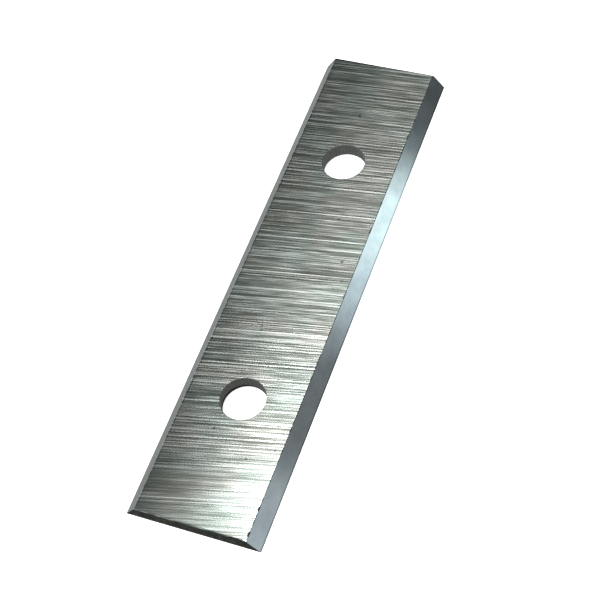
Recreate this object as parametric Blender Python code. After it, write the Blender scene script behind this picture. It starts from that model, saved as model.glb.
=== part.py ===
"""Turnover knife of cemented carbide, with two screw holes and a cutting edge along each long side.

The knife is one piece, and it is built in the order in which the real one is shaped. It starts as a flat
blank whose end edges are lightly broken. The two bevels are ground along its long sides, down to a thin
land at each cutting edge. The two screw holes go through it, with their rims eased on both faces.

Units are metres. The origin is the middle of the back face, which seats in the cutter head. The length runs
along Y, the width along X, and the thickness goes up along Z from the back face to the ground face.
"""

import math

import bmesh
import bpy

# Overall size of the knife
LENGTH = 0.050
WIDTH = 0.012
THICKNESS = 0.0015

# Bevels: the angle of the wedge between the back face and a bevel, and the flat left at the cutting edge
WEDGE_ANGLE = 55.0
EDGE_LAND = 0.00004

# Screw holes: diameter, distance from centre to centre, and the width of the eased rim
HOLE_DIAMETER = 0.0040
HOLE_SPACING = 0.026
HOLE_RIM = 0.00004

# Rounding of the edges between the end faces and the two flat faces
END_RADIUS = 0.00008

# How far a cutting tool reaches past the surface that it cuts
OVERRUN = 0.0005

# Number of facets round a hole and round an end edge
HOLE_FACETS = 96
END_FACETS = 4

# Edges that bend more than this many degrees are shaded as sharp edges
SHARP_ANGLE = 30.0

# Colour and finish of the ground carbide
CARBIDE_COLOUR = (0.30, 0.31, 0.30, 1.0)
CARBIDE_ROUGHNESS = 0.34


def bevel_run():
    """Width of a bevel seen from above: the height it climbs, over the tangent of the wedge angle."""
    return (THICKNESS - EDGE_LAND) / math.tan(math.radians(WEDGE_ANGLE))


def clear_scene():
    """Removes whatever the open file holds, so that the knife is alone in it."""
    for old in list(bpy.data.objects):
        bpy.data.objects.remove(old, do_unlink=True)


def object_from(bm, name):
    """Turns a bmesh into an object of the scene, with its faces pointing outwards."""
    bmesh.ops.recalc_face_normals(bm, faces=bm.faces)
    mesh = bpy.data.meshes.new(name)
    bm.to_mesh(mesh)
    bm.free()
    made = bpy.data.objects.new(name, mesh)
    bpy.context.scene.collection.objects.link(made)
    return made


def extruded(name, outline, start, sweep):
    """Prism: places each (a, b) of a closed outline with start(a, b), then sweeps the face by a vector."""
    bm = bmesh.new()
    face = bm.faces.new([bm.verts.new(start(a, b)) for a, b in outline])
    swept = bmesh.ops.extrude_face_region(bm, geom=[face])
    moved = [item for item in swept["geom"] if isinstance(item, bmesh.types.BMVert)]
    bmesh.ops.translate(bm, verts=moved, vec=sweep)
    return object_from(bm, name)


def turned(name, profile, centre_y, facets):
    """Solid of revolution: a ring for each (radius, height) of the profile, joined up and capped."""
    bm = bmesh.new()
    rings = []
    for radius, height in profile:
        ring = []
        for step in range(facets):
            angle = 2.0 * math.pi * step / facets
            ring.append(bm.verts.new((radius * math.cos(angle), centre_y + radius * math.sin(angle), height)))
        rings.append(ring)
    for lower, upper in zip(rings, rings[1:]):
        for step in range(facets):
            after = (step + 1) % facets
            bm.faces.new((lower[step], lower[after], upper[after], upper[step]))
    bm.faces.new(list(reversed(rings[0])))
    bm.faces.new(rings[-1])
    return object_from(bm, name)


def blank():
    """The flat blank: its side view, a long rectangle with rounded corners, swept across the width."""
    half = LENGTH / 2.0
    corners = (
        (half - END_RADIUS, THICKNESS - END_RADIUS, 0.0),
        (END_RADIUS - half, THICKNESS - END_RADIUS, 90.0),
        (END_RADIUS - half, END_RADIUS, 180.0),
        (half - END_RADIUS, END_RADIUS, 270.0),
    )
    outline = []
    for centre_y, centre_z, first in corners:
        for step in range(END_FACETS + 1):
            angle = math.radians(first + 90.0 * step / END_FACETS)
            outline.append((centre_y + END_RADIUS * math.cos(angle), centre_z + END_RADIUS * math.sin(angle)))
    return extruded("turnover_knife", outline, lambda y, z: (-WIDTH / 2.0, y, z), (WIDTH, 0.0, 0.0))


def bevel_wheel(side):
    """What the grinding wheel takes off one long side: a wedge whose lower face lies along the bevel."""
    slope = math.tan(math.radians(WEDGE_ANGLE))
    edge = WIDTH / 2.0
    outline = (
        (side * (edge + OVERRUN), EDGE_LAND - OVERRUN * slope),
        (side * (edge + OVERRUN), THICKNESS + OVERRUN),
        (side * (edge - bevel_run() - OVERRUN / slope), THICKNESS + OVERRUN),
    )
    reach = LENGTH / 2.0 + OVERRUN
    return extruded("bevel_wheel", outline, lambda x, z: (x, -reach, z), (0.0, 2.0 * reach, 0.0))


def hole_core(side):
    """The space of one screw hole: a cylinder that widens by the eased rim towards both faces."""
    radius = HOLE_DIAMETER / 2.0
    wide = radius + HOLE_RIM + OVERRUN
    profile = (
        (wide, -OVERRUN),
        (radius, HOLE_RIM),
        (radius, THICKNESS - HOLE_RIM),
        (wide, THICKNESS + OVERRUN),
    )
    return turned("hole_core", profile, side * HOLE_SPACING / 2.0, HOLE_FACETS)


def cut(body, cutters):
    """Takes the space of each cutter out of the body for good, and removes the cutters."""
    for cutter in cutters:
        step = body.modifiers.new(cutter.name, "BOOLEAN")
        step.operation = "DIFFERENCE"
        step.solver = "EXACT"
        step.object = cutter
    graph = bpy.context.evaluated_depsgraph_get()
    body.data = bpy.data.meshes.new_from_object(body.evaluated_get(graph))
    body.modifiers.clear()
    for cutter in cutters:
        bpy.data.objects.remove(cutter, do_unlink=True)


def carbide():
    """Cemented carbide with a ground finish: a grey metal, neither polished nor dull."""
    material = bpy.data.materials.new("ground_carbide")
    material.use_nodes = True
    shader = material.node_tree.nodes["Principled BSDF"]
    shader.inputs["Base Color"].default_value = CARBIDE_COLOUR
    shader.inputs["Metallic"].default_value = 1.0
    shader.inputs["Roughness"].default_value = CARBIDE_ROUGHNESS
    return material


def build_knife():
    """Makes the blank, grinds both bevels, takes out both holes and shades the rounded surfaces smooth."""
    knife = blank()
    cut(knife, [bevel_wheel(side) for side in (1.0, -1.0)])
    cut(knife, [hole_core(side) for side in (1.0, -1.0)])
    knife.data.materials.append(carbide())
    knife.data.shade_smooth()
    knife.data.set_sharp_from_angle(angle=math.radians(SHARP_ANGLE))
    return knife


clear_scene()
build_knife()
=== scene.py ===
"""Turnover knife of cemented carbide: its ground and sintered surfaces, and the studio that it lies in."""

import math

import bmesh
import bpy
import numpy as np
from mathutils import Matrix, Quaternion, Vector


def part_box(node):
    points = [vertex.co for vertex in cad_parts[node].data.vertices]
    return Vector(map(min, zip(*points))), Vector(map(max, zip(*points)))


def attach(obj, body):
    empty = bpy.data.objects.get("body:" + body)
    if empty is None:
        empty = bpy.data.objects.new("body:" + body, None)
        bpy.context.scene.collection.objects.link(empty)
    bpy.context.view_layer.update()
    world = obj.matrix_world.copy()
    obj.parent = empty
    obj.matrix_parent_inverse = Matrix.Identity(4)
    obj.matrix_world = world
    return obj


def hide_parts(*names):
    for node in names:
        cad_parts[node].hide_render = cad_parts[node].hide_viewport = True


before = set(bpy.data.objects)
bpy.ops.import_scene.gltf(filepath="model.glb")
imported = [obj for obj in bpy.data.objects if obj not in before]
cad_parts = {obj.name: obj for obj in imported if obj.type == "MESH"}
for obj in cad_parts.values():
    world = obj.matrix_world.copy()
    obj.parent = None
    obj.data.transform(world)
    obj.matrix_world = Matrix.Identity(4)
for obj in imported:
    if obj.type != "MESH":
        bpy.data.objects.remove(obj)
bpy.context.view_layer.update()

# Sintered blank
# The knife starts as a flat bar of tungsten carbide in cobalt, pressed from powder in a die and sintered. The
# walls of its two screw holes stay as they come out of the furnace: dark, dull and finely grained.

MM = 0.001
blank_low, blank_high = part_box("turnover_knife")
HALF_WIDTH = (blank_high.x - blank_low.x) / 2
HALF_LENGTH = (blank_high.y - blank_low.y) / 2
THICKNESS = blank_high.z - blank_low.z
HOLE_RADIUS = 2.0 * MM
HOLE_RIM = 0.04 * MM
HOLE_OFFSET = 13.0 * MM
# Fineness of the grids: cells across the knife, length of a cell along it, and cells down a hole's wall
COLUMNS = 40
STATION_STEP = 0.09 * MM
WALL_ROWS = 7

skins = []


def grid_of(x, y, z):
    """Points of a grid: its three coordinates, each spread over all the rows and columns."""
    return np.stack(np.broadcast_arrays(x, y, z), axis=-1)


def add_skin(points, along, across, finish):
    """Keeps one grid of points, with its surface coordinates in millimetres and the name of its finish."""
    coordinates = np.stack(np.broadcast_arrays(along / MM, across / MM), axis=-1)
    skins.append((points, coordinates, finish))


def evenly(start, stop, step):
    """Stations from start to stop, both included, as close to a step apart as whole steps allow."""
    return np.linspace(start, stop, max(2, round(abs(stop - start) / step) + 1))


# Seen from above, a square block of surface surrounds each hole. The grid inside it runs from the hole's rim
# to the block's four sides, a quarter of the circle to each, and starts at the near left corner, at -135
# degrees.
HOLE_BLOCK = 5.0 * MM
across_share = np.sin(np.linspace(-1.0, 1.0, COLUMNS + 1) * math.pi / 2)
block_stations = evenly(-HOLE_BLOCK, HOLE_BLOCK, STATION_STEP)
quarter_counts = [COLUMNS, len(block_stations) - 1, COLUMNS, len(block_stations) - 1]
ring_angles = np.concatenate([
    math.radians(90.0 * quarter - 135.0) + np.linspace(0.0, math.pi / 2, count, endpoint=False)
    for quarter, count in enumerate(quarter_counts)
])
ring_angles = np.append(ring_angles, ring_angles[0] + 2.0 * math.pi)


def wall_profile():
    """Radius and height down a hole: a narrow slope at the upper rim, a straight wall, and a slope below."""
    wall = np.linspace(THICKNESS - HOLE_RIM, HOLE_RIM, WALL_ROWS + 1)
    wide = HOLE_RADIUS + HOLE_RIM
    radii = np.concatenate([[wide], np.full(len(wall), HOLE_RADIUS), [wide]])
    heights = np.concatenate([[THICKNESS], wall, [0.0]])
    return radii[:, None], heights[:, None]


wall_radii, wall_heights = wall_profile()
for centre in (-HOLE_OFFSET, HOLE_OFFSET):
    wall_y = centre + wall_radii * np.sin(ring_angles)
    wall = grid_of(wall_radii * np.cos(ring_angles), wall_y, wall_heights)
    add_skin(wall, HOLE_RADIUS * ring_angles[None, :], wall_heights, "sintered_carbide")


def linear(colour):
    """Linear red, green, blue and alpha of an sRGB hex colour such as 8a8f8c."""
    shares = [int(colour[i:i + 2], 16) / 255 for i in (0, 2, 4)]
    return [c / 12.92 if c <= 0.04045 else ((c + 0.055) / 1.055) ** 2.4 for c in shares] + [1.0]


def add_node(tree, kind, settings=None, inputs=None, stops=()):
    """Adds a shader node. Settings are its properties, and inputs are values or sockets to link from.

    The stops of a colour ramp are pairs of a place from 0 to 1 and an sRGB colour, in rising order.
    """
    made = tree.nodes.new("ShaderNode" + kind)
    for name, value in (settings or {}).items():
        setattr(made, name, value)
    for name, value in (inputs or {}).items():
        if isinstance(value, bpy.types.NodeSocket):
            tree.links.new(value, made.inputs[name])
        else:
            made.inputs[name].default_value = value
    if stops:
        elements = made.color_ramp.elements
        while len(elements) < len(stops):
            elements.new(1.0)
        for element, (place, colour) in zip(elements, stops):
            element.position = place
            element.color = linear(colour)
    return made


# Places of the sockets on a node that mixes colours: the share of the upper colour, the colour underneath,
# the colour over it, and the result
MIX_SHARE = 0
MIX_UNDER = 6
MIX_OVER = 7
MIX_RESULT = 2


def new_finish(name):
    """A material with an empty tree, its Principled shader and its surface coordinates in millimetres."""
    material = bpy.data.materials.new(name)
    material.use_nodes = True
    tree = material.node_tree
    shader = tree.nodes["Principled BSDF"]
    surface = add_node(tree, "UVMap", {"uv_map": "surface_mm"})
    return material, tree, shader, surface.outputs["UV"]


def set_metal(tree, shader, colour, roughness, height, depth):
    """Makes the shader a bare metal with this colour and roughness, and a relief as deep as given."""
    relief = add_node(tree, "Bump", None, {"Height": height, "Distance": depth})
    tree.links.new(colour, shader.inputs["Base Color"])
    tree.links.new(relief.outputs["Normal"], shader.inputs["Normal"])
    shader.inputs["Metallic"].default_value = 1.0
    shader.inputs["Roughness"].default_value = roughness


# Carbide straight from the furnace: a dull, dark grey metal. Its skin shows the pressed powder as a faint
# grain, drawn at 0.14 mm because the real grain of under 0.01 mm is too fine to see here. A painted shadow
# darkens the foot of the near hole's wall, standing highest on its left side.
GRAINS_PER_MM = 7.0
sintered_carbide, tree, shader, surface = new_finish("sintered_carbide")
grain = add_node(
    tree, "TexNoise", {"noise_dimensions": "2D"}, {"Vector": surface, "Scale": GRAINS_PER_MM, "Detail": 3.0}
)
shade = add_node(tree, "ValToRGB", None, {"Fac": grain.outputs["Fac"]}, ((0.3, "838481"), (0.7, "bbbcb9")))
# Painted shadow at the foot of the near hole's wall: it mixes the wall's colour towards black.
hole_shadow = add_node(tree, "Attribute", {"attribute_name": "painted_shade_and_darkening"})
shadowed_wall = add_node(
    tree, "Mix", {"data_type": "RGBA"},
    {MIX_SHARE: hole_shadow.outputs["Fac"], MIX_UNDER: shade.outputs["Color"], MIX_OVER: linear("1a1a19")},
)
set_metal(
    tree, shader, shadowed_wall.outputs[MIX_RESULT], roughness=0.5, height=grain.outputs["Fac"], depth=0.008 * MM
)

# End faces
# Both short ends are ground square with a coarse wheel. Their edges are lightly tumbled, which leaves a
# rounding of under a tenth of a millimetre. They take no part in cutting, and keep a plain dull surface.

WEDGE_ANGLE = math.radians(55.0)
EDGE_LAND = 0.04 * MM
END_RADIUS = 0.08 * MM
END_STEPS = 6
BEVEL_ROWS = 8
LAND_LEAST = 0.01 * MM


def end_drop(y):
    """How far the rounded ends pull the flat faces in at a station: what a quarter circle leaves out."""
    past = np.clip(np.abs(y) - (HALF_LENGTH - END_RADIUS), 0.0, END_RADIUS)
    return END_RADIUS - np.sqrt(END_RADIUS ** 2 - past ** 2)


def half_width(z):
    """Half the knife's width at a height: full as far as the land, then less by the slope of the bevel."""
    return HALF_WIDTH - np.maximum(z - EDGE_LAND, 0.0) / math.tan(WEDGE_ANGLE)


def side_heights(y):
    """Heights of a long side's grid lines at each station: the back face, the land, and rows up the bevel."""
    floor = end_drop(y)[:, None]
    land = np.maximum(EDGE_LAND, floor + LAND_LEAST)
    top = THICKNESS - end_drop(y)[:, None]
    rows = np.linspace(0.0, 1.0, BEVEL_ROWS + 1)[None, :]
    return np.concatenate([floor, land + (top - land) * rows], axis=1)


for end in (-HALF_LENGTH, HALF_LENGTH):
    heights = side_heights(np.array([end]))[0][:, None]
    face = grid_of(half_width(heights) * across_share[None, :], end, heights)
    add_skin(face, face[..., 0], heights, "rough_ground_carbide")


def drawn_out(tree, surface, first, second, detail, roughness):
    """Noise drawn out into marks: how often it changes per millimetre along the two surface coordinates."""
    stretched = add_node(tree, "Mapping", None, {"Vector": surface, "Scale": (first, second, 1.0)})
    noise = add_node(
        tree, "TexNoise", {"noise_dimensions": "2D"},
        {"Vector": stretched.outputs["Vector"], "Scale": 1.0, "Detail": detail, "Roughness": roughness},
    )
    return noise.outputs["Fac"]


# Rough-ground carbide: darker and duller than the faces, with a brown cast that the coolant has left. Its
# marks run up and down in blotches drawn 0.5 mm wide, because the real marks are too fine to show.
rough_ground, tree, shader, surface = new_finish("rough_ground_carbide")
blotches = drawn_out(tree, surface, first=2.0, second=0.7, detail=4.0, roughness=0.6)
shade = add_node(tree, "ValToRGB", None, {"Fac": blotches}, ((0.3, "55554f"), (0.7, "85857d")))
set_metal(tree, shader, shade.outputs["Color"], roughness=0.4, height=blotches, depth=0.02 * MM)

# Flat faces
# Both broad faces are ground flat on a surface grinder whose wheel crosses the knife at a small angle. Each
# grain of the wheel leaves a scratch, most of them right across the face, and they fan out along its length.

GRIND_SLOPE = 0.155
GRIND_FAN = 3.3
HOLE_RINGS = 20

end_curve = END_RADIUS * np.sin(np.linspace(0.0, math.pi / 2, END_STEPS + 1))
end_stations = HALF_LENGTH - END_RADIUS + end_curve
far_flat = evenly(HOLE_OFFSET + HOLE_BLOCK, end_stations[0], STATION_STEP)
far_strip = np.concatenate([far_flat, end_stations[1:]])
middle_strip = evenly(HOLE_BLOCK - HOLE_OFFSET, HOLE_OFFSET - HOLE_BLOCK, STATION_STEP)
near_strip = -far_strip[::-1]


def face_strip(stations, upper):
    """Grid of a flat face between two stations: the shares of the half width at each station."""
    height = THICKNESS - end_drop(stations) if upper else end_drop(stations)
    return grid_of(half_width(height)[:, None] * across_share[None, :], stations[:, None], height[:, None])


def face_round_hole(centre, upper):
    """Grid between a hole's rim and its block: straight lines from circle to square, closest at both ends."""
    height = THICKNESS if upper else 0.0
    half = half_width(height)
    x = np.concatenate([
        half * across_share[:-1],
        np.full(len(block_stations) - 1, half),
        half * across_share[:0:-1],
        np.full(len(block_stations), -half),
    ])
    y = np.concatenate([
        np.full(COLUMNS, -HOLE_BLOCK),
        block_stations[:-1],
        np.full(COLUMNS, HOLE_BLOCK),
        block_stations[::-1],
    ])
    rim = HOLE_RADIUS + HOLE_RIM
    share = ((1.0 - np.cos(np.linspace(0.0, math.pi, HOLE_RINGS + 1))) / 2.0)[:, None]
    ring_x = (1.0 - share) * rim * np.cos(ring_angles) + share * x
    ring_y = (1.0 - share) * rim * np.sin(ring_angles) + share * y
    return grid_of(ring_x, centre + ring_y, height)


for upper in (True, False):
    grids = [face_strip(stations, upper) for stations in (near_strip, middle_strip, far_strip)]
    grids += [face_round_hole(centre, upper) for centre in (-HOLE_OFFSET, HOLE_OFFSET)]
    for grid in grids:
        x = grid[..., 0] if upper else -grid[..., 0]
        y = grid[..., 1]
        add_skin(grid, x, y - x * (GRIND_SLOPE - GRIND_FAN * y), "cross_ground_carbide")

# Cross-ground carbide: a grey metal with a slight green cast, combed by the wheel. Light spreads along the
# knife and hardly across it. The scratches are drawn 0.1 to 0.2 mm wide, as the eye groups them here, because
# the real ones of 0.01 mm are too fine to show. Each kind has how often it changes per millimetre along and
# across itself, its detail, and its weight in the tone: long, fine, broken and short.
SCRATCHES = (
    (0.008, 4.9, 2.0, 0.34),
    (0.03, 8.6, 0.0, 0.32),
    (0.20, 5.0, 1.0, 0.24),
    (0.6, 6.0, 0.0, 0.10),
)
SCRATCH_ROUGHNESS = 0.68
# The relief follows only the widest lines, because narrower ones than a pixel would glitter.
FURROWS = (0.008, 4.9, 0.0)
FURROW_WEIGHT = 0.6
RELIEF_DEPTH = 0.020 * MM
# Where single coarse grains have ploughed across the whole face: distances along the knife from its middle.
# The marks come and go with a slow noise, and the ramp that draws them reaches past both ends.
BRIGHT_MARKS = (-16.0, -15.3, -11.4, -10.8, -6.9, -6.3, -2.9, -1.85, 2.1, 18.6)
BRIGHT_WEIGHT = 0.26
DARK_MARKS = (-21.7, -17.05, -15.8, -11.2, -9.4, -8.8, -5.2, -4.3, 0.15, 1.15)
DARK_WEIGHT = -0.14
MARK_REACH = 26.0
MARK_WIDTH = 0.13
MARK_FADING = (0.12, 0.3, 1.0)
MARK_TONE = 0.8
MARK_RELIEF = 0.3


def tone_ramp(tree, value, tones):
    """Colour for each value of a socket: tones are pairs of a value and an sRGB colour, in rising order."""
    first, last = tones[0][0], tones[-1][0]
    share = add_node(tree, "MapRange", None, {"Value": value, "From Min": first, "From Max": last})
    stops = [((place - first) / (last - first), colour) for place, colour in tones]
    ramp = add_node(tree, "ValToRGB", None, {"Fac": share.outputs["Result"]}, stops)
    return ramp.outputs["Color"]


def wheel_marks(tree, place, marks):
    """White peaks on black, one at each mark, along the socket that gives the place in millimetres."""
    tones = [(-MARK_REACH, "000000")]
    for mark in marks:
        tones += [(mark - MARK_WIDTH, "000000"), (mark, "ffffff"), (mark + MARK_WIDTH, "000000")]
    tones.append((MARK_REACH, "000000"))
    return tone_ramp(tree, place, tones)


def weighted_sum(tree, terms):
    """Sum of sockets, each times its weight."""
    total = 0.0
    for socket, weight in terms:
        term = add_node(tree, "Math", {"operation": "MULTIPLY_ADD"}, {0: socket, 1: weight, 2: total})
        total = term.outputs["Value"]
    return total


cross_ground, tree, shader, surface = new_finish("cross_ground_carbide")
place = add_node(tree, "SeparateXYZ", None, {"Vector": surface})
marks = weighted_sum(tree, [
    (wheel_marks(tree, place.outputs["Y"], BRIGHT_MARKS), BRIGHT_WEIGHT),
    (wheel_marks(tree, place.outputs["Y"], DARK_MARKS), DARK_WEIGHT),
])
fading = drawn_out(tree, surface, *MARK_FADING, SCRATCH_ROUGHNESS)
fading_marks = add_node(tree, "Math", {"operation": "MULTIPLY"}, {0: marks, 1: fading}).outputs["Value"]
furrows = drawn_out(tree, surface, *FURROWS, SCRATCH_ROUGHNESS)
deep = weighted_sum(tree, [(furrows, FURROW_WEIGHT), (fading_marks, MARK_RELIEF)])
scratches = [(drawn_out(tree, surface, *kind, SCRATCH_ROUGHNESS), weight) for *kind, weight in SCRATCHES]
lines = weighted_sum(tree, scratches + [(fading_marks, MARK_TONE)])

# Towards its near end, from one place along the knife to another, nearly half of the scratches' strength is
# taken away, and soft bands of one or two millimetres show instead.
SOFTENED_FROM = -13.5
SOFTENED_TO = -20.5
SOFTENED_SHARE = 0.45
SOFTENED_RELIEF = 0.3
BROAD_BANDS = (0.05, 0.6, 2.0)
BAND_CONTRAST = 0.5
BAND_TONE = 0.30
softened = add_node(
    tree, "MapRange", {"interpolation_type": "SMOOTHSTEP"},
    {
        "Value": place.outputs["Y"], "From Min": SOFTENED_TO, "From Max": SOFTENED_FROM,
        "To Min": SOFTENED_SHARE, "To Max": 0.0,
    },
).outputs["Result"]
bands = add_node(
    tree, "Math", {"operation": "MULTIPLY_ADD"},
    {0: drawn_out(tree, surface, *BROAD_BANDS, SCRATCH_ROUGHNESS), 1: BAND_CONTRAST, 2: BAND_TONE},
).outputs["Value"]
lines = add_node(tree, "Mix", None, {"Factor": softened, "A": lines, "B": bands}).outputs["Result"]
deep = add_node(tree, "Mix", None, {"Factor": softened, "A": deep, "B": SOFTENED_RELIEF}).outputs["Result"]

# The tone follows the lines. Patches of about five millimetres are a trace warmer or greener than the rest.
LINE_TONES = ((0.395, "676a66"), (0.505, "9b9f9a"), (0.62, "f4f6f3"))
CAST_PATCHES = 0.22
CAST_TONES = ((0.38, "f9f9f5"), (0.62, "f1fbf7"))
shade = add_node(tree, "ValToRGB", None, {"Fac": lines}, LINE_TONES)
cloud = add_node(
    tree, "TexNoise", {"noise_dimensions": "2D"}, {"Vector": surface, "Scale": CAST_PATCHES, "Detail": 2.0}
)
cast = add_node(tree, "ValToRGB", None, {"Fac": cloud.outputs["Fac"]}, CAST_TONES)
tinted = add_node(
    tree, "VectorMath", {"operation": "MULTIPLY"}, {0: shade.outputs["Color"], 1: cast.outputs["Color"]}
)


def groove_place(x, y):
    """Surface coordinates in millimetres of a place on a flat face: across the knife, then along it."""
    return x, y - x * (GRIND_SLOPE - GRIND_FAN * MM * y)


# Pits where a grain has broken out of the face: place across and along the knife, and size, in millimetres.
# A pit is darkest in its middle, and fades from half of its size outwards.
PITS = (
    (-0.27, 18.57, 0.19), (3.57, 2.30, 0.19), (-0.99, -5.83, 0.15), (-0.93, -6.23, 0.14),
    (4.23, 0.39, 0.14), (1.76, 6.67, 0.14), (3.74, -0.61, 0.11), (-1.34, -16.26, 0.17),
    (4.37, -16.84, 0.14), (2.31, -18.19, 0.13),
)
PIT_MIDDLE = 0.5
PIT_SHARE = 0.6
# Along the upper edges of both ends the colour is darker, but lets a little of the metal show: a painted dark
# reflection at the far end, and a darker colour at the near end's nicks.
EDGE_DARKENING_SHARE = 0.85
pitted = 0.0
for x, y, size in PITS:
    away = add_node(
        tree, "VectorMath", {"operation": "DISTANCE"}, {0: surface, 1: (*groove_place(x, y), 0.0)}
    ).outputs["Value"]
    inside = add_node(
        tree, "MapRange", None,
        {"Value": away, "From Min": PIT_MIDDLE * size, "From Max": size, "To Min": PIT_SHARE, "To Max": 0.0},
    ).outputs["Result"]
    pitted = add_node(tree, "Math", {"operation": "MAXIMUM"}, {0: inside, 1: pitted}).outputs["Value"]
# The painted dark reflection along the far end's upper edge and the darker near end's edge, read from the
# mesh.
edge_shade_and_darkening = add_node(tree, "Attribute", {"attribute_name": "painted_shade_and_darkening"}).outputs["Fac"]
weighted_edge_darkening = add_node(tree, "Math", {"operation": "MULTIPLY"}, {0: edge_shade_and_darkening, 1: EDGE_DARKENING_SHARE}).outputs["Value"]
pits_and_edge_darkening = add_node(tree, "Math", {"operation": "MAXIMUM"}, {0: pitted, 1: weighted_edge_darkening}).outputs["Value"]
# Pits, the far end's painted dark reflection and the near end's darker edge all mix the tone towards black.
pitted_and_darkened = add_node(
    tree, "Mix", {"data_type": "RGBA"},
    {MIX_SHARE: pits_and_edge_darkening, MIX_UNDER: tinted.outputs["Vector"], MIX_OVER: linear("080808")},
)
set_metal(tree, shader, pitted_and_darkened.outputs[MIX_RESULT], roughness=0.21, height=deep, depth=RELIEF_DEPTH)
grain_line = add_node(tree, "Tangent", {"direction_type": "UV_MAP", "uv_map": "surface_mm"})
tree.links.new(grain_line.outputs["Tangent"], shader.inputs["Tangent"])
shader.inputs["Anisotropic"].default_value = 0.95
shader.inputs["Anisotropic Rotation"].default_value = 0.25

# Bevels
# Each long side is ground at 55 degrees to the back face with a much finer wheel, down to a land of a few
# hundredths of a millimetre at the cutting edge. The finish is close to a mirror.

all_stations = np.concatenate([
    near_strip[:-1],
    block_stations[:-1] - HOLE_OFFSET,
    middle_strip[:-1],
    block_stations[:-1] + HOLE_OFFSET,
    far_strip,
])
for side in (-1.0, 1.0):
    heights = side_heights(all_stations)
    flank = grid_of(side * half_width(heights), all_stations[:, None], heights)
    add_skin(flank, flank[..., 1], heights / math.sin(WEDGE_ANGLE), "fine_ground_carbide")

# Fine-ground carbide: the same grey metal, nearly polished, with faint lines along the edge. They are drawn
# 0.17 mm apart, and the real ones are more than ten times finer. The colour turns darker over about two
# tenths of a millimetre up the slope from the cutting edge.
DARKER_FULLY = 0.08
DARKER_TO = 0.22
DARKER_SHARE = 0.65
fine_ground, tree, shader, surface = new_finish("fine_ground_carbide")
lines = drawn_out(tree, surface, first=0.25, second=6.0, detail=2.0, roughness=0.5)
clouds = add_node(
    tree, "TexNoise", {"noise_dimensions": "2D"}, {"Vector": surface, "Scale": 0.5, "Detail": 3.0}
)
shade = add_node(tree, "ValToRGB", None, {"Fac": clouds.outputs["Fac"]}, ((0.3, "aab0b2"), (0.7, "b9bfc1")))
place = add_node(tree, "SeparateXYZ", None, {"Vector": surface})
# Darker colour towards the foot of the bevel.
darker_low = add_node(
    tree, "MapRange", None,
    {
        "Value": place.outputs["Y"], "From Min": DARKER_FULLY, "From Max": DARKER_TO,
        "To Min": DARKER_SHARE, "To Max": 0.0,
    },
).outputs["Result"]
darkened_low = add_node(
    tree, "Mix", {"data_type": "RGBA"},
    {MIX_SHARE: darker_low, MIX_UNDER: shade.outputs["Color"], MIX_OVER: linear("3a3c3d")},
)
set_metal(tree, shader, darkened_low.outputs[MIX_RESULT], roughness=0.10, height=lines, depth=0.002 * MM)

# Finished knife
# The surfaces join into the one closed body that the knife is. It has been handled and used: its upper edges
# are rubbed and a little ragged where the scratches run out, with small nicks. A painted dark reflection lies
# along the upper edge of its far end, the near end's upper edge is darker, most at the nicks, and a painted
# shadow darkens the foot of its near hole's wall.

FINISHES = {
    "cross_ground_carbide": cross_ground,
    "fine_ground_carbide": fine_ground,
    "rough_ground_carbide": rough_ground,
    "sintered_carbide": sintered_carbide,
}


def grid_faces(rows, columns, first):
    """Four corners of every cell of a grid whose points are numbered row by row from first."""
    corner = first + np.arange(rows - 1)[:, None] * columns + np.arange(columns - 1)[None, :]
    return np.stack([corner, corner + 1, corner + columns + 1, corner + columns], axis=-1).reshape(-1, 4)


points = []
coordinates = []
faces = []
finish_numbers = []
first_point = 0
for grid, surface_mm, finish in skins:
    rows, columns = grid.shape[:2]
    cells = grid_faces(rows, columns, first_point)
    points.append(grid.reshape(-1, 3))
    coordinates.append(np.broadcast_to(surface_mm, (rows, columns, 2)).reshape(-1, 2))
    faces.append(cells)
    finish_numbers.append(np.full(len(cells), list(FINISHES).index(finish)))
    first_point += rows * columns
points = np.concatenate(points)
coordinates = np.concatenate(coordinates)
faces = np.concatenate(faces)
finish_numbers = np.concatenate(finish_numbers)

# An edge's raggedness is new at each step, and a coarser one, with steps several times as long, is added.
ROUGH_STEP = 0.2 * MM
SIDE_COARSER = 3.0
END_COARSER = 4.0
FINE_SHARE = 0.6
COARSE_SHARE = 0.4
EDGE_MARGIN = 1.1
# How far in from its edge the upper surface is rubbed: at least, and more where the edge is ragged
SIDE_RUB_LEAST = 0.015 * MM
LEFT_RUB = 0.08 * MM
RIGHT_RUB = 0.05 * MM
END_RUB_LEAST = 0.03 * MM
END_RUB = 0.05 * MM
RUBBED_SLOPE = 0.45
# Nicks in the right long edge, and in the upper edge of the near end: middle, half length and extra reach of
# each along its edge, in millimetres. At the end they darken the colour more than they dent the face.
SIDE_NICKS = (
    (-24.3, 0.22, 0.10), (-22.0, 0.20, 0.08), (-9.6, 0.20, 0.04), (6.1, 0.25, 0.04), (17.2, 0.20, 0.04),
)
END_NICKS = ((4.0, 0.75, 0.10), (2.3, 0.20, 0.06), (-0.9, 0.50, 0.04), (-3.4, 0.30, 0.04))
END_NICK_DENT = 0.3
# Points below this height aren't part of the upper surface or of its rounded ends.
UPPER_SLACK = 0.005 * MM
UPPER_FROM = THICKNESS - END_RADIUS - UPPER_SLACK
WEAR_SEED = 12
chance = np.random.default_rng(WEAR_SEED)


def ragged(along, step):
    """Smooth random values from 0 to 1 along a line: a new one at each step, eased from one to the next."""
    start = -EDGE_MARGIN * HALF_LENGTH
    values = chance.random(int(-2.0 * start / step) + 2)
    place = (along - start) / step
    before = np.floor(place).astype(int)
    ease = (1.0 - np.cos(math.pi * (place - before))) / 2.0
    return values[before] * (1.0 - ease) + values[before + 1] * ease


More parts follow.
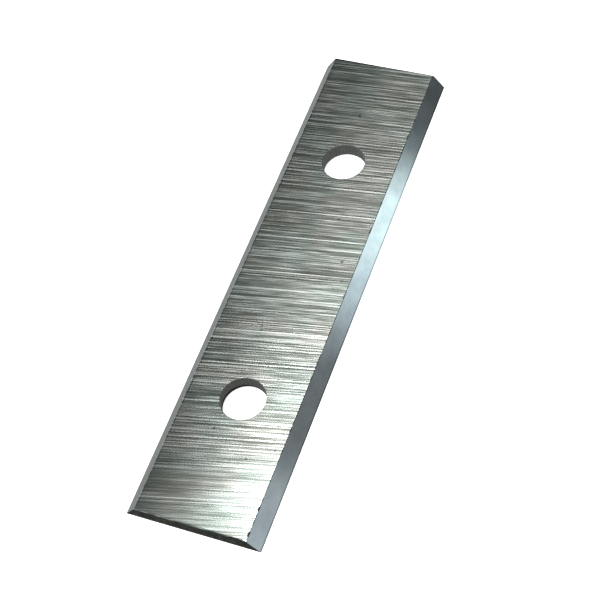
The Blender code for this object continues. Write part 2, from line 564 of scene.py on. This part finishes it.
def raggedness(along, coarser):
    """Raggedness from 0 to 1 along an edge: the fine one and the coarser one, each times its share."""
    return FINE_SHARE * ragged(along, ROUGH_STEP) + COARSE_SHARE * ragged(along, coarser * ROUGH_STEP)


def nicked(along, nicks):
    """Extra reach of a rubbed edge: a flat-topped hump for each nick, one less the distance's sixth power."""
    middle, half, reach = (np.array(nicks).T * MM)[:, :, None]
    return (reach * np.clip(1.0 - ((along - middle) / half) ** 6, 0.0, 1.0)).sum(axis=0)


def rubbed(distance, reach):
    """How far a rubbed edge is lowered: most at the edge, falling as a square to nothing at its reach."""
    return RUBBED_SLOPE * reach * np.clip(1.0 - distance / reach, 0.0, 1.0) ** 2


def worn(points, side_ragged, end_ragged, end_nicks):
    """Lowers the upper surface near its edges, and slides the lowered long edges down the bevel's plane."""
    x, y, z = points.T
    upper = z > UPPER_FROM
    left_reach = SIDE_RUB_LEAST + LEFT_RUB * side_ragged ** 2
    right_reach = SIDE_RUB_LEAST + RIGHT_RUB * side_ragged ** 2 + nicked(y, SIDE_NICKS)
    reach = np.where(x < 0.0, left_reach, right_reach)
    from_side = half_width(z) - np.abs(x)
    side_fall = np.where(upper, rubbed(from_side, reach), 0.0)
    end_reach = END_RUB_LEAST + END_RUB * end_ragged ** 2 + END_NICK_DENT * end_nicks
    end_fall = np.where(upper, rubbed(HALF_LENGTH - np.abs(y), end_reach), 0.0)
    slide = np.clip(1.0 - from_side / reach, 0.0, 1.0) * side_fall / math.tan(WEDGE_ANGLE)
    return np.stack([x + np.sign(x) * slide, y, z - side_fall - end_fall], axis=1)


# How far the painted dark reflection reaches in from the far end: at least, more at the left, and more where
# the edge is ragged. It widens leftwards from the turn, over the length of the run. Then how far the near
# end's upper edge is darkened.
FAR_SHADE_LEAST = 0.10 * MM
FAR_SHADE_LEFT = 0.24 * MM
FAR_SHADE_RAGGED = 0.06 * MM
FAR_SHADE_TURN = 2.0 * MM
FAR_SHADE_RUN = 7.0 * MM
NEAR_DARKENING = 0.01 * MM
# How high the painted shadow stands on the wall of the near hole, from its foot: at least, and how much more
# per radius to the left.
HOLE_SHADOW_LEAST = 0.02 * MM
HOLE_SHADOW_RISE = 0.26 * MM


def faded(distance, reach):
    """Strength of a painted shade or darkening: full over the first half of its reach, and then falling
    evenly to nothing.
    """
    return np.clip(2.0 * (1.0 - distance / reach), 0.0, 1.0)


def paint_shade_and_darkening(points, end_ragged, end_nicks):
    """Darkening at each point: a painted dark reflection along the far end's upper edge, a darker colour
    along the near end's upper edge at its nicks, or a painted shadow at the foot of the near hole's wall.
    """
    x, y, z = points.T
    # Along the upper edges of the ends: a painted dark reflection at the far end, widening leftwards, and a
    # darker colour at the near end, most at its nicks.
    leftwards = np.clip((FAR_SHADE_TURN - x) / FAR_SHADE_RUN, 0.0, 1.0)
    far_reach = FAR_SHADE_LEAST + FAR_SHADE_LEFT * leftwards + FAR_SHADE_RAGGED * end_ragged
    edge_darkening_reach = np.where(y > 0.0, far_reach, NEAR_DARKENING + end_nicks)
    edge_shade_and_darkening = np.where(z > UPPER_FROM, faded(HALF_LENGTH - np.abs(y), edge_darkening_reach), 0.0)
    # Painted shadow at the foot of the near hole's wall, standing higher towards its left side.
    on_wall = np.hypot(x, y + HOLE_OFFSET) < HOLE_RADIUS + 0.5 * HOLE_RIM
    hole_shadow = np.where(on_wall, faded(z, HOLE_SHADOW_LEAST + HOLE_SHADOW_RISE * (1.0 - x / HOLE_RADIUS)), 0.0)
    return np.maximum(edge_shade_and_darkening, hole_shadow)


side_ragged = raggedness(points[:, 1], SIDE_COARSER)
end_ragged = raggedness(points[:, 0], END_COARSER)
end_nicks = np.where(points[:, 1] > 0.0, 0.0, nicked(points[:, 0], END_NICKS))
# Painted shade and darkening at each point, worked out before the wear moves the points.
painted_shade_and_darkening = paint_shade_and_darkening(points, end_ragged, end_nicks)
points = worn(points, side_ragged, end_ragged, end_nicks)

WELD = 0.001 * MM
SHARP_ANGLE = math.radians(30.0)
knife_mesh = bpy.data.meshes.new("ground_knife")
knife_mesh.from_pydata(points.tolist(), [], faces.tolist())
surface_map = knife_mesh.uv_layers.new(name="surface_mm")
surface_map.data.foreach_set("uv", coordinates[faces.ravel()].ravel())
knife_mesh.attributes.new("painted_shade_and_darkening", "FLOAT", "POINT").data.foreach_set("value", painted_shade_and_darkening)
knife_mesh.polygons.foreach_set("material_index", finish_numbers)
for material in FINISHES.values():
    knife_mesh.materials.append(material)
welded = bmesh.new()
welded.from_mesh(knife_mesh)
bmesh.ops.remove_doubles(welded, verts=welded.verts, dist=WELD)
bmesh.ops.recalc_face_normals(welded, faces=welded.faces)
open_edges = sum(not edge.is_manifold for edge in welded.edges)
print("knife mesh:", len(welded.verts), "points,", len(welded.faces), "faces,", open_edges, "open edges")
welded.to_mesh(knife_mesh)
welded.free()
knife_mesh.shade_smooth()
knife_mesh.set_sharp_from_angle(angle=SHARP_ANGLE)


def read_numbers(items, name, kind=int):
    """One number from each item of a mesh, as an array."""
    values = np.empty(len(items), dtype=kind)
    items.foreach_get(name, values)
    return values


# Edges where two finishes meet are sharp too, however flat the wear has made them.
corners = read_numbers(knife_mesh.polygons, "loop_total")
edge_of_corner = read_numbers(knife_mesh.loops, "edge_index")
finish_of_corner = np.repeat(read_numbers(knife_mesh.polygons, "material_index"), corners)
lowest = np.full(len(knife_mesh.edges), len(FINISHES))
highest = np.full(len(knife_mesh.edges), -1)
np.minimum.at(lowest, edge_of_corner, finish_of_corner)
np.maximum.at(highest, edge_of_corner, finish_of_corner)
sharp = knife_mesh.attributes["sharp_edge"].data
sharp.foreach_set("value", read_numbers(sharp, "value", bool) | (lowest != highest))
knife = bpy.data.objects.new("ground_knife", knife_mesh)
bpy.context.scene.collection.objects.link(knife)
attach(knife, "root")
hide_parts("turnover_knife")

# Floor
# A plain white studio sweep: a flat disc whose rim curves up into a wall. It glows by itself, besides the
# lamp's light on it, so that it stays white round the knife, and metal doesn't mirror it.

FLOOR_RINGS = (0.001, 0.05, 0.2)
FLOOR_RADIUS = 0.5
FLOOR_DROP = 0.01 * MM
WALL_CURVE = 0.15
WALL_HEIGHT = 0.4
CURVE_STEPS = 12
SWEEP_SIDES = 96
SWEEP_WELD = 0.1 * MM

curve = np.linspace(0.0, math.pi / 2, CURVE_STEPS + 1)
curve_radii = FLOOR_RADIUS + WALL_CURVE * np.sin(curve)
curve_heights = WALL_CURVE * (1.0 - np.cos(curve))
sweep_radii = np.concatenate([FLOOR_RINGS, curve_radii, [FLOOR_RADIUS + WALL_CURVE]])[:, None]
sweep_heights = np.concatenate([np.zeros(len(FLOOR_RINGS)), curve_heights, [WALL_HEIGHT]])[:, None]
turns = np.linspace(0.0, 2.0 * math.pi, SWEEP_SIDES + 1)
sweep = grid_of(sweep_radii * np.cos(turns), sweep_radii * np.sin(turns), sweep_heights - FLOOR_DROP)
floor_mesh = bpy.data.meshes.new("floor")
floor_mesh.from_pydata(sweep.reshape(-1, 3).tolist(), [], grid_faces(*sweep.shape[:2], 0).tolist())
shell = bmesh.new()
shell.from_mesh(floor_mesh)
bmesh.ops.remove_doubles(shell, verts=shell.verts, dist=SWEEP_WELD)
innermost = [vert for vert in shell.verts if vert.co.xy.length < 2.0 * FLOOR_RINGS[0]]
bmesh.ops.contextual_create(shell, geom=innermost)
bmesh.ops.recalc_face_normals(shell, faces=shell.faces)
shell.to_mesh(floor_mesh)
shell.free()
floor_mesh.shade_smooth()
floor = bpy.data.objects.new("floor", floor_mesh)
bpy.context.scene.collection.objects.link(floor)
floor.visible_glossy = False
floor.visible_shadow = False
white_paper = bpy.data.materials.new("white_paper")
white_paper.use_nodes = True
shader = white_paper.node_tree.nodes["Principled BSDF"]
shader.inputs["Base Color"].default_value = linear("f4f4f4")
shader.inputs["Roughness"].default_value = 0.9
shader.inputs["Emission Color"].default_value = linear("ffffff")
shader.inputs["Emission Strength"].default_value = 0.8
floor_mesh.materials.append(white_paper)

# Studio light
# A softbox hangs over the left side of the knife and lights the ground face. The room round it is grey, and a
# bright window level with the table puts the bright patch on the right bevel.

LAMP_PLACE = (-0.056, -0.020, 0.40)
LAMP_SIZE = (0.070, 0.060)
LAMP_POWER = 1.10

lamp = bpy.data.lights.new("overhead_softbox", "AREA")
lamp.shape = "RECTANGLE"
lamp.size, lamp.size_y = LAMP_SIZE
lamp.energy = LAMP_POWER
softbox = bpy.data.objects.new("overhead_softbox", lamp)
bpy.context.scene.collection.objects.link(softbox)
softbox.location = LAMP_PLACE
softbox.visible_camera = False

# What the right bevel mirrors lies level with the table: a bright window between two dim stretches of wall.
# The tones go with the turn in degrees from the knife's right, and the window's glow multiplies them.
WINDOW_GLOW = 2.2
WALL_TONES = (
    (15.0, "9aa1a4"), (20.8, "9fa6a9"), (22.0, "66696a"), (26.6, "595b5c"), (27.6, "8f969a"),
    (29.4, "b3bfc4"), (31.1, "dbedf1"), (31.8, "edffff"), (33.7, "edffff"), (34.6, "9aa5a9"),
    (35.5, "454748"), (40.0, "404243"), (120.0, "404243"), (180.0, "9aa1a4"),
)
# Elsewhere the tones go with the height of the direction, from straight down at -1 to straight up at 1.
HEIGHT_TONES = (
    (-1.0, "343434"), (-0.92, "474847"), (-0.80, "6a6b6a"), (-0.66, "a4a6a5"), (-0.5, "a4a6a5"),
    (-0.15, "7c7f80"), (0.15, "646768"), (0.35, "2c2e2e"), (1.0, "202121"),
)
# The upper walls are pale, but for a dark strip across the room that the ground face mirrors to the camera.
# Their tones go from the room's left at -1 to its right at 1, and the wall in front has one tone.
SIDE_TONES = (
    (-1.0, "e0e4e5"), (-0.62, "dcdfe0"), (-0.45, "000000"), (-0.12, "000000"), (0.1, "5c6062"),
    (1.0, "8c9092"),
)
FRONT_TONE = "c4c8ca"
# Where these parts of the room fade into one another: into the front wall, into the upper walls, and out of
# the stretch level with the table. The limits are shares of the direction, like those of the tones.
FRONT_FADE = (-0.45, -0.15)
UPPER_FADE = (0.18, 0.32)
LEVEL_FADE = (0.12, 0.2)

studio = bpy.data.worlds.new("studio")
studio.use_nodes = True
bpy.context.scene.world = studio
tree = studio.node_tree
direction = add_node(tree, "TexCoord")
shares = add_node(tree, "SeparateXYZ", None, {"Vector": direction.outputs["Generated"]})
by_height = tone_ramp(tree, shares.outputs["Z"], HEIGHT_TONES)
by_side = tone_ramp(tree, shares.outputs["X"], SIDE_TONES)
level = add_node(tree, "Math", {"operation": "ABSOLUTE"}, {0: shares.outputs["Z"]})
in_front, above, near_level = [
    add_node(
        tree, "MapRange", {"interpolation_type": "SMOOTHSTEP"},
        {"Value": value, "From Min": lower, "From Max": upper, "To Min": start, "To Max": 1.0 - start},
    ).outputs["Result"]
    for value, (lower, upper), start in (
        (shares.outputs["Y"], FRONT_FADE, 1.0),
        (shares.outputs["Z"], UPPER_FADE, 0.0),
        (level.outputs["Value"], LEVEL_FADE, 1.0),
    )
]
walls = add_node(
    tree, "Mix", {"data_type": "RGBA"},
    {MIX_SHARE: in_front, MIX_UNDER: by_side, MIX_OVER: linear(FRONT_TONE)},
)
room = add_node(
    tree, "VectorMath", {"operation": "MULTIPLY_ADD"}, {0: walls.outputs[MIX_RESULT], 1: above, 2: by_height}
)
turn = add_node(tree, "Math", {"operation": "ARCTAN2"}, {0: shares.outputs["Y"], 1: shares.outputs["X"]})
degrees = add_node(tree, "Math", {"operation": "DEGREES"}, {0: turn.outputs["Value"]})
by_turn = tone_ramp(tree, degrees.outputs["Value"], WALL_TONES)
glow = add_node(tree, "VectorMath", {"operation": "SCALE"}, {0: by_turn, "Scale": WINDOW_GLOW})
sky = add_node(
    tree, "Mix", {"data_type": "RGBA"},
    {MIX_SHARE: near_level, MIX_UNDER: room.outputs["Vector"], MIX_OVER: glow.outputs["Vector"]},
)
background = tree.nodes["Background"]
tree.links.new(sky.outputs[MIX_RESULT], background.inputs["Color"])
background.inputs["Strength"].default_value = 1.0

# Camera
# A camera with a long lens looks down on the knife from the near right, 13 centimetres away, and is rolled so
# that the knife stands up steeply in the picture.

CAMERA_PLACE = (38.07 * MM, -61.05 * MM, 104.35 * MM)
CAMERA_AIM = (0.77 * MM, -1.59 * MM, 0.0)
CAMERA_ROLL = math.radians(-14.38)
CAMERA_LENS = 85.155
SENSOR_WIDTH = 36.0
CLIP_NEAR = 0.005
CLIP_FAR = 10.0

camera = bpy.data.objects.new("camera", bpy.data.cameras.new("camera"))
bpy.context.scene.collection.objects.link(camera)
line_of_sight = Vector(CAMERA_AIM) - Vector(CAMERA_PLACE)
roll = Quaternion((0.0, 0.0, 1.0), CAMERA_ROLL)
camera.location = CAMERA_PLACE
camera.rotation_mode = "QUATERNION"
camera.rotation_quaternion = line_of_sight.to_track_quat("-Z", "Y") @ roll
camera.data.lens = CAMERA_LENS
camera.data.sensor_width = SENSOR_WIDTH
camera.data.clip_start = CLIP_NEAR
camera.data.clip_end = CLIP_FAR
bpy.context.scene.camera = camera
bpy.context.scene.view_settings.view_transform = "Standard"
